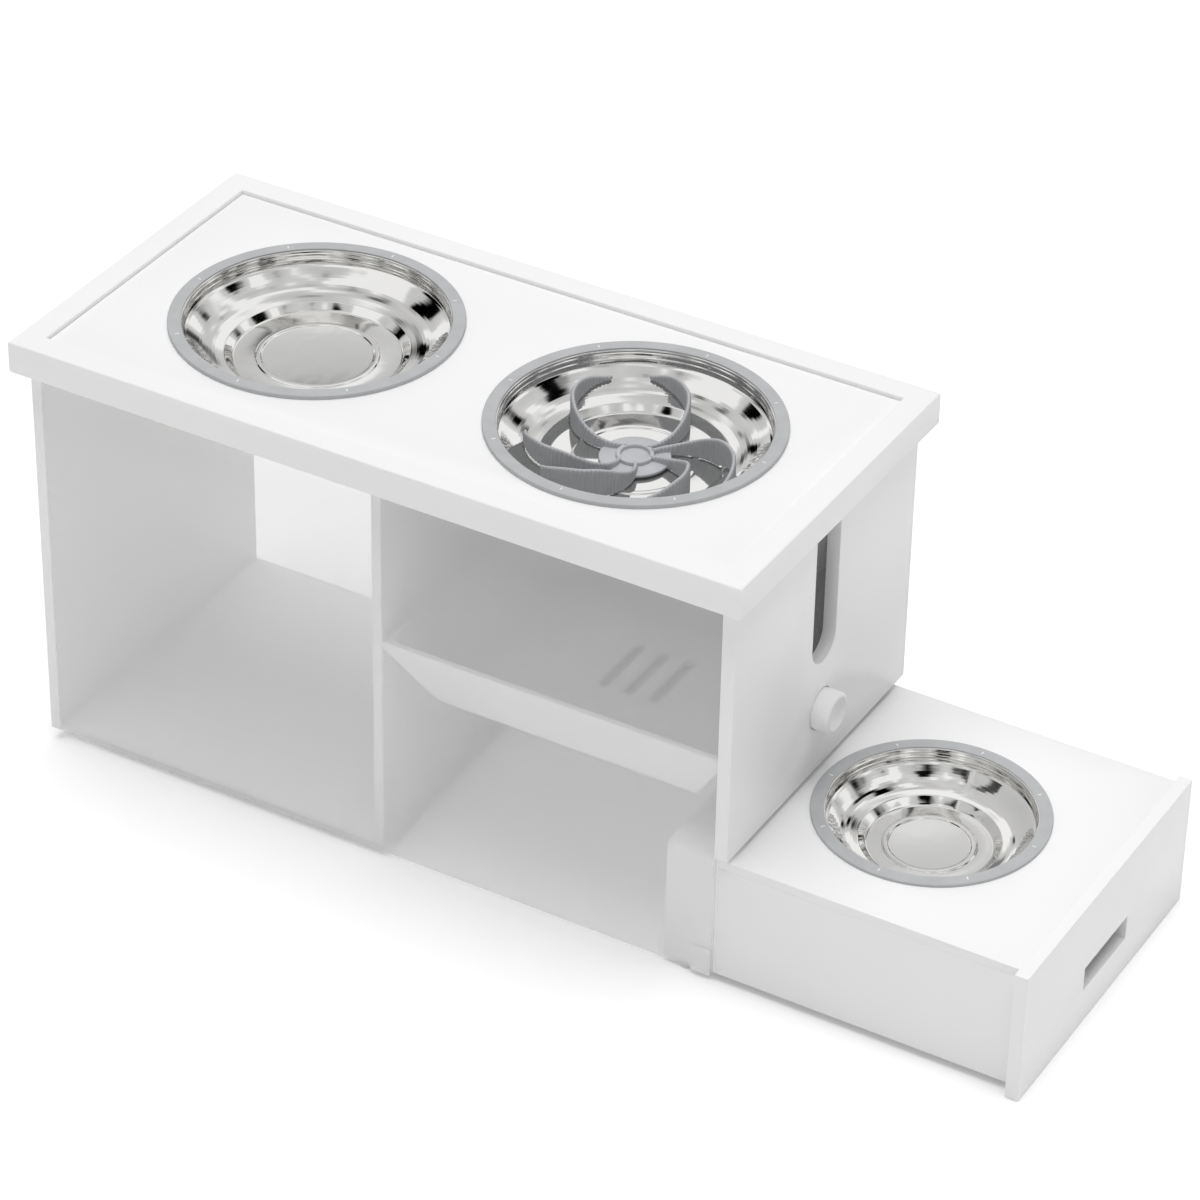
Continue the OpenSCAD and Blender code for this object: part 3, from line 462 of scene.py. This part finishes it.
def rounded(points, radii, steps):
    """The outline with each corner replaced by an arc; radii holds one radius for each point."""
    result = []
    last = len(points) - 1
    for i, (point, radius) in enumerate(zip(points, radii)):
        here = Vector(point)
        if radius <= 0 or i in (0, last):
            result.append(here)
            continue
        back = Vector(points[i - 1]) - here
        ahead = Vector(points[i + 1]) - here
        half = back.angle(ahead) / 2
        reach = min(radius / math.tan(half), back.length * 0.49, ahead.length * 0.49)
        start = here + back.normalized() * reach
        end = here + ahead.normalized() * reach
        for k in range(steps + 1):
            t = k / steps
            result.append(start * (1 - t) ** 2 + here * 2 * t * (1 - t) + end * t ** 2)
    return result


def spun(name, outline, centre, steps, closed):
    """The outline of (radius, height) points in mm spun about the upright line through centre."""
    mesh = bpy.data.meshes.new(name)
    points = [(r * MM, 0.0, z * MM) for r, z in outline]
    edges = [(i, i + 1) for i in range(len(points) - 1)]
    if closed:
        edges.append((len(points) - 1, 0))
    mesh.from_pydata(points, edges, [])
    obj = bpy.data.objects.new(name, mesh)
    bpy.context.scene.collection.objects.link(obj)
    pick(obj)
    bpy.ops.object.mode_set(mode="EDIT")
    bpy.ops.mesh.select_all(action="SELECT")
    bpy.ops.mesh.spin(steps=steps, angle=2 * math.pi, center=(0, 0, 0), axis=(0, 0, 1))
    bpy.ops.mesh.select_all(action="SELECT")
    bpy.ops.mesh.remove_doubles(threshold=0.000005)
    bpy.ops.mesh.normals_make_consistent(inside=False)
    bpy.ops.object.mode_set(mode="OBJECT")
    obj.location = centre
    return obj


# %% [markdown]
# ## Steel bowls
# A pressed bowl has a flat flange, an upright band with two fine beads, a shoulder, a bellied wall, a
# foot step and a flat floor with one raised ring. The inner face is spun, and a Solidify modifier adds
# the sheet's thickness on the outside.


# %% Bowls
def middle(node):
    """The middle of a node's box, seen from above, and its top."""
    low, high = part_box(node)
    return (low.x + high.x) / 2, (low.y + high.y) / 2, high.z


band_depth = 13.0
bead_drops = (3.5, 8.5)
shoulder_inset = 3.0
wall_belly = 3.0
wall_steps = 12
foot_width = 7.0
foot_rise = 6.0
ring_share = 0.7
flange_reach = 9.9
sheet_thickness = 1.0


def bowl_outline(opening, depth, floor, flange_z):
    """The inside of a bowl from its flange to its axis, in mm, from the board's top."""
    band_z = flange_z - band_depth
    shoulder, shoulder_z = opening - shoulder_inset, band_z - 1.5
    step, step_z = floor + foot_width, depth + foot_rise
    ring = floor * ring_share
    points = [(opening + flange_reach, flange_z), (opening, flange_z)]
    for drop in bead_drops:
        bead_z = flange_z - drop
        points += [(opening - 0.1, bead_z + 1.1), (opening - 0.8, bead_z), (opening - 0.2, bead_z - 1.1)]
    points += [(opening - 0.6, band_z)]
    for i in range(wall_steps + 1):
        s = i / wall_steps
        belly = wall_belly * math.sin(math.pi * s)
        points.append((shoulder + (step - shoulder) * s, shoulder_z + (step_z - shoulder_z) * s - belly))
    points += [(floor + 1.8, depth + 1.5), (floor, depth)]
    points += [(ring + 3, depth), (ring + 1.5, depth + 1), (ring - 1.5, depth + 1), (ring - 3, depth)]
    points += [(0, depth)]
    band_radii = [0, 1.2] + [0.8] * (3 * len(bead_drops)) + [1.2]
    wall_radii = [1.0] + [3.0] * (wall_steps - 1) + [2.5]
    floor_radii = [2.0, 3.0, 2, 1.5, 1.5, 2, 0]
    return rounded(points, band_radii + wall_radii + floor_radii, 4)


def steel_bowl(node, opening, floor, depth, ring_height):
    """A spun bowl with its sheet's thickness; all sizes in mm."""
    x, y, _ = middle(node)
    board_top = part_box(node + "_ring")[1].z - ring_height * MM
    outline = bowl_outline(opening, ring_height - depth, floor, (ring_height + 1) / 2)
    bowl = spun(node + "_pressed", outline, (x, y, board_top), round_steps, False)
    sheet = bowl.modifiers.new("sheet", "SOLIDIFY")
    sheet.thickness = sheet_thickness * MM
    sheet.offset = -1.0
    apply_modifiers(bowl)
    smooth(bowl, 50)
    settle(bowl, body_of[node], steel)
    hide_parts(node)
    return bowl


large_opening, small_opening = 113.5, 88.0
large_floor, small_floor = 72.0, 53.0
large_ring, small_ring = 4.0, 3.0
board_t = 9.0
bowls = [
    steel_bowl("left_bowl", large_opening, large_floor, 38, large_ring),
    steel_bowl("right_bowl", large_opening, large_floor, 38, large_ring),
    steel_bowl("small_bowl", small_opening, small_floor, 35, small_ring),
]
for bowl in bowls:
    print(bowl.name, [round(v, 4) for v in bowl.dimensions])

# %% [markdown]
# ## Silicone rings
# Each ring wraps the bowl's flange and drops a skirt through the board, so the bowl neither rattles nor
# slips. Eight small moulded marks stand on it, one at each eighth of a turn.


# %% Rings
skirt_gap = 1.2
pocket_reach = 10.2
ring_width = 12.5
skirt_wall = 3.0
mark_count = 8
mark_reach = 6.0
mark_size = (3.6, 1.1, 0.5)
mark_rise = 0.2


def ring_outline(opening, height, board):
    """The ring's cross-section in mm, from the board's top."""
    low, high = (height - 1) / 2, (height + 1) / 2
    skirt, skirt_z = opening + skirt_gap, 1 - board
    pocket, outer = opening + pocket_reach, opening + ring_width
    points = [
        (skirt, low), (skirt, skirt_z), (skirt + skirt_wall, skirt_z), (skirt + skirt_wall, 0),
        (outer, 0), (outer, height), (opening + 1, height), (opening + 1, high),
        (pocket, high), (pocket, low),
    ]
    radii = [0, 0.5, 0.8, 0.3, 0.3, 1.2, 1.0, 0.2, 0.2, 0]
    return rounded(points, radii, 4)


def ring_mark(x, y, top, reach, angle):
    """One small rounded bar on a ring, pointing at the ring's middle."""
    bpy.ops.object.select_all(action="DESELECT")
    bpy.ops.mesh.primitive_cube_add(
        size=1.0,
        location=(x + reach * math.cos(angle), y + reach * math.sin(angle), top - mark_size[2] / 2 * MM),
        rotation=(0, 0, angle),
        scale=[side * MM for side in mark_size],
    )
    mark = bpy.context.active_object
    bpy.ops.object.transform_apply(location=False, rotation=False, scale=True)
    soften = mark.modifiers.new("soft", "BEVEL")
    soften.width = 0.2 * MM
    soften.segments = 2
    return apply_modifiers(mark)


def silicone_ring(node, opening, height, board):
    """A spun ring with its moulded marks."""
    x, y, top = middle(node)
    outline = ring_outline(opening, height - mark_rise, board)
    ring = spun(node + "_moulded", outline, (x, y, top - height * MM), round_steps, True)
    reach = (opening + mark_reach) * MM
    turn = 2 * math.pi / mark_count
    marks = join([ring_mark(x, y, top, reach, turn * i) for i in range(mark_count)])
    marks.name = node + "_marks"
    settle(marks, body_of[node], mark_silicone)
    smooth(ring, 40)
    settle(ring, body_of[node], silicone)
    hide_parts(node)
    return ring


rings = [
    silicone_ring("left_bowl_ring", large_opening, large_ring, board_t),
    silicone_ring("right_bowl_ring", large_opening, large_ring, board_t),
    silicone_ring("small_bowl_ring", small_opening, small_ring, board_t),
]
print("rings", [round(ring.dimensions.x, 4) for ring in rings])

# %% [markdown]
# ## Slow feeder
# Bowed fins whirl out from a hub and rise towards the bowl's wall, so a dog has to work round them. Both
# faces of every fin carry fine upright ribs. Each fin is a grid of points wrapped round its plan, with
# the ribs as waves in its thickness, its foot on the base or on the wall, and its top edge rounded.

# %% Slow feeder sizes
fin_thickness = 4.0
fin_height = 27.0
fin_low = 7.0
hub_radius = 16.0
fin_reach = 100.0
fin_bow = 32.0
base_radius = 30.0
rib_pitch = 3.4
rib_depth = 0.8
wall_points = [(71.0, 0.0), (78.0, 5.7), (93.75, 10.7), (109.5, 21.7), (109.5, 60.0)]
# start angle, end angle, side of the bow, added bow, how far the end stays inside the reach
fin_plan = [
    (150, 131, -1, 7, 0),
    (72, 113, 1, 1, 0),
    (45, -15, -1, 5, 3),
    (5, -54, -1, 0, 13),
    (-60, -122, -1, 0, 13),
    (-120, -158, -1, 2, 9),
]


# %% [markdown]
# ### The shape of one fin
# Seen from above a fin is an arc through two points with a given bow. Its top edge rises fast near the
# hub and drops a little at the end, and its foot follows the bowl's wall where it runs up on it.

# %% Fin heights
rise_share = 1.25
rise_power = 1.4
end_drop = 0.3
drop_from = 0.45


def fin_edge(u):
    """The height of a fin's top edge, from u = -1 at the hub to u = 1 at its end."""
    rise = math.sin(math.radians(90 * min(1, (u + 1) / rise_share))) ** rise_power
    drop = end_drop * max(0, (u - drop_from) / (1 - drop_from)) ** 3
    return (fin_low + (fin_height - fin_low) * rise) * (1 - drop)


def wall_height(radius):
    """How high the bowl's wall stands above the insert's base at a radius."""
    if radius <= wall_points[0][0]:
        return 0.0
    for (r0, z0), (r1, z1) in zip(wall_points, wall_points[1:]):
        if radius <= r1 and r1 > r0:
            return z0 + (z1 - z0) * (radius - r0) / (r1 - r0)
    return wall_points[-1][1]


def polar(radius, degrees):
    """The point at a radius and an angle, seen from above."""
    return Vector((math.cos(math.radians(degrees)), math.sin(math.radians(degrees)))) * radius


# %% [markdown]
# ### Rows along the fin
# The fin is sampled along its arc, six times for each rib. Every row knows its place, the way out, half
# the thickness, the rib's wave and the heights of foot and top.

# %% Fin rows
samples_per_rib = 6
rib_sharpness = 0.7
least_height = 0.6


def fin_rows(start_angle, end_angle, side, more_bow, inset):
    """The rows of one fin from the hub to its end, in mm round the insert's middle."""
    bow = fin_bow + more_bow
    start = polar(hub_radius - 0.6 * fin_thickness, start_angle)
    end = polar(fin_reach - inset, end_angle)
    chord = (end - start).length
    along = (end - start) / chord
    right = Vector((along.y, -along.x)) * side
    bend = (chord ** 2 / 4 + bow ** 2) / (2 * bow)
    centre = (start + end) / 2 + right * (bow - bend)
    half = math.asin(chord / 2 / bend)
    length = 2 * half * bend
    columns = int(length / rib_pitch) * samples_per_rib
    rows = []
    for i in range(columns + 1):
        t = i / columns
        angle = -half + 2 * half * t
        outward = right * math.cos(angle) + along * math.sin(angle)
        place = centre + outward * bend
        u = (place - (start + end) / 2).dot(along) / (chord / 2)
        wave = max(0.0, math.cos(2 * math.pi * i / samples_per_rib)) ** rib_sharpness
        taper = min(1.0, min(t, 1 - t) * length / (fin_thickness * 0.5))
        half_width = (fin_thickness / 2 - rib_depth) * math.sqrt(max(0.0, 1 - (1 - taper) ** 2))
        low = wall_height(place.length + fin_thickness * 0.35)
        high = max(low + least_height, fin_edge(max(-1.0, min(1.0, u))))
        rows.append((place, outward, half_width, rib_depth * wave * taper, low, high))
    return rows


# %% [markdown]
# ### Skin over the rows
# Each row carries one closed section: up one side, over a rounded top and down the other. Neighbouring
# sections are joined by quads and the two ends are capped.

# %% Fin skin
levels = 9
cap = 5


def fin_section(half_width, rib, low, high):
    """The offsets and heights round one row, from the foot of one side to the foot of the other."""
    body_top = max(low + least_height / 2, high - fin_thickness / 2)
    side = [(half_width + rib, low + (body_top - low) * k / levels) for k in range(levels + 1)]
    for k in range(1, cap):
        a = math.pi / 2 * k / cap
        across = (half_width + rib * (1 - k / cap)) * math.cos(a)
        side.append((across, body_top + (high - body_top) * math.sin(a)))
    return side + [(0.0, high)] + [(-w, z) for w, z in reversed(side)]


def fin_skin(rows):
    """Points and faces of one ribbed fin."""
    points, faces = [], []
    for place, outward, half_width, rib, low, high in rows:
        for w, z in fin_section(half_width, rib, low, high):
            p = place + outward * w
            points.append((p.x, p.y, z))
    count = 2 * (levels + cap) + 1
    for i in range(len(rows) - 1):
        for k in range(count):
            n = (k + 1) % count
            near, far = i * count, (i + 1) * count
            faces.append((near + k, near + n, far + n, far + k))
    faces.append(tuple(range(count - 1, -1, -1)))
    faces.append(tuple(range((len(rows) - 1) * count, len(rows) * count)))
    return points, faces


# %% [markdown]
# ### Putting the insert together
# A small disc with a ring on it is the hub. The fins start inside the ring's wall, and all of it is
# joined into one moulded piece.

# %% Slow feeder
hub_hollow = 12.0
hub_low, hub_top = 1.5, 6.0
base_thickness = 2.5


def fin_object(plan, centre):
    """One fin as an object at the insert's middle."""
    points, faces = fin_skin(fin_rows(*plan))
    mesh = bpy.data.meshes.new("fin")
    mesh.from_pydata([Vector(p) * MM for p in points], [], faces)
    fin = bpy.data.objects.new("fin", mesh)
    bpy.context.scene.collection.objects.link(fin)
    fin.location = centre
    pick(fin)
    bpy.ops.object.mode_set(mode="EDIT")
    bpy.ops.mesh.select_all(action="SELECT")
    bpy.ops.mesh.remove_doubles(threshold=corner_distance)
    bpy.ops.mesh.normals_make_consistent(inside=False)
    bpy.ops.object.mode_set(mode="OBJECT")
    return fin


def slow_feeder(node):
    """The whole insert: base, hub and fins joined into one object."""
    x, y, _ = middle("right_bowl")
    centre = Vector((x, y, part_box(node)[0].z))
    disc = [(0, 0), (base_radius, 0), (base_radius, base_thickness), (0, base_thickness)]
    base = spun("slow_feeder_fins", rounded(disc, [0, 0.4, 1.0, 0], 3), centre, 128, False)
    wall = [(hub_hollow, hub_low), (hub_radius, hub_low), (hub_radius, hub_top), (hub_hollow, hub_top)]
    hub_outline = rounded(wall + [wall[0]], [0, 0.5, 1.5, 1.5, 0], 3)[:-1]
    hub = spun("feeder_hub", hub_outline, centre, 96, True)
    join([base, hub] + [fin_object(plan, centre) for plan in fin_plan])
    smooth(base, 50)
    settle(base, body_of[node], grey_plastic)
    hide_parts(node)
    return base


feeder = slow_feeder("slow_feeder_insert")
print("slow feeder", len(feeder.data.polygons), "faces")

# %% [markdown]
# ## Light and background
# The photograph is a plain studio picture: an even white surround, with more light from above than from
# the sides. The world gives the even part, a broad sun the rest. Camera, mirror and see-through rays
# meet white, so the background stays white without more light on the object.

# %% World
surround_strength = 0.415
backdrop_strength = 1.0
world = bpy.data.worlds.new("studio")
bpy.context.scene.world = world
world.use_nodes = True
tree = world.node_tree
tree.nodes.clear()
surround = tree.nodes.new("ShaderNodeBackground")
surround.inputs["Color"].default_value = (1.0, 1.0, 1.0, 1.0)
surround.inputs["Strength"].default_value = surround_strength
backdrop = tree.nodes.new("ShaderNodeBackground")
backdrop.inputs["Color"].default_value = (1.0, 1.0, 1.0, 1.0)
backdrop.inputs["Strength"].default_value = backdrop_strength
rays = tree.nodes.new("ShaderNodeLightPath")
seen = tree.nodes.new("ShaderNodeMath")
seen.operation = "MAXIMUM"
either = tree.nodes.new("ShaderNodeMath")
either.operation = "MAXIMUM"
tree.links.new(rays.outputs["Is Camera Ray"], seen.inputs[0])
tree.links.new(rays.outputs["Is Glossy Ray"], seen.inputs[1])
tree.links.new(seen.outputs[0], either.inputs[0])
tree.links.new(rays.outputs["Is Transmission Ray"], either.inputs[1])
mix = tree.nodes.new("ShaderNodeMixShader")
output = tree.nodes.new("ShaderNodeOutputWorld")
tree.links.new(either.outputs[0], mix.inputs["Fac"])
tree.links.new(surround.outputs[0], mix.inputs[1])
tree.links.new(backdrop.outputs[0], mix.inputs[2])
tree.links.new(mix.outputs[0], output.inputs["Surface"])

# %% Sun
sun_strength = 1.88
sun_spread = 50
sun_data = bpy.data.lights.new("overhead", "SUN")
sun_data.energy = sun_strength
sun_data.angle = math.radians(sun_spread)
sun = bpy.data.objects.new("overhead", sun_data)
sun.visible_glossy = False
bpy.context.scene.collection.objects.link(sun)

# %% [markdown]
# ## A tent for the steel
# Polished steel shows nothing but what stands round it. Product photographers hang a tent of cloth
# strips round such a piece, so that bright and dark bands run over it. This half sphere is that tent:
# only mirror rays meet it, and it neither lights the boards nor shadows them.

# %% Tent
tent_radius = 2200.0
quarter = [math.radians(a) for a in range(0, 91, 6)]
tent_outline = [(tent_radius * math.cos(a), tent_radius * math.sin(a)) for a in quarter]
tent = spun("tent", tent_outline, (0, 0, 0), 64, False)
cloth = bpy.data.materials.new("tent_cloth")
cloth.use_nodes = True
tree = cloth.node_tree
tree.nodes.remove(tree.nodes["Principled BSDF"])
strips = object_noise(tree, 1.6, 1.0, (1.0, 1.0, 0.9))
steps = tree.nodes.new("ShaderNodeValToRGB")
stops = [(0.35, 0.0), (0.39, 0.25), (0.43, 0.60), (0.53, 0.70), (0.58, 1.0), (0.70, 1.0)]
while len(steps.color_ramp.elements) < len(stops):
    steps.color_ramp.elements.new(0.5)
for element, (position, level) in zip(steps.color_ramp.elements, stops):
    element.position = position
    element.color = (level, level, level, 1.0)
glow = tree.nodes.new("ShaderNodeEmission")
tree.links.new(strips, steps.inputs["Fac"])
tree.links.new(steps.outputs["Color"], glow.inputs["Color"])
tree.links.new(glow.outputs[0], tree.nodes["Material Output"].inputs["Surface"])
tent.data.materials.append(cloth)
tent.visible_camera = False
tent.visible_diffuse = False
tent.visible_shadow = False
tent.visible_transmission = False

# %% [markdown]
# ## Floor
# The floor is wide and pale. A little of its white is given back only to the camera, which lifts it to
# the background's white while the feeder's soft shadow stays on it.

# %% Floor
floor_size = 60.0
floor_lift = 0.18
bpy.ops.object.select_all(action="DESELECT")
bpy.ops.mesh.primitive_plane_add(size=floor_size, location=(0, 0, 0))
floor = bpy.context.active_object
floor.name = "floor"
ground, tree, shader = new_material("pale_floor", (0.95, 0.95, 0.95), 0.9)
shader.inputs["Specular IOR Level"].default_value = 0.0
tint(
    tree, object_noise(tree, 0.5), shader.inputs["Base Color"],
    (0.945, 0.945, 0.945), (0.955, 0.955, 0.955),
)
glow = tree.nodes.new("ShaderNodeEmission")
glow.inputs["Strength"].default_value = floor_lift
hidden = tree.nodes.new("ShaderNodeEmission")
hidden.inputs["Strength"].default_value = 0.0
rays = tree.nodes.new("ShaderNodeLightPath")
seen = tree.nodes.new("ShaderNodeMath")
seen.operation = "MAXIMUM"
tree.links.new(rays.outputs["Is Camera Ray"], seen.inputs[0])
tree.links.new(rays.outputs["Is Glossy Ray"], seen.inputs[1])
pale = tree.nodes.new("ShaderNodeMixShader")
tree.links.new(seen.outputs[0], pale.inputs["Fac"])
tree.links.new(hidden.outputs[0], pale.inputs[1])
tree.links.new(glow.outputs[0], pale.inputs[2])
both = tree.nodes.new("ShaderNodeAddShader")
tree.links.new(shader.outputs[0], both.inputs[0])
tree.links.new(pale.outputs[0], both.inputs[1])
tree.links.new(both.outputs[0], tree.nodes["Material Output"].inputs["Surface"])
floor.data.materials.append(ground)

# %% [markdown]
# ## Close
# The view is kept plain.

# %% Finish
bpy.context.scene.view_settings.view_transform = "Standard"
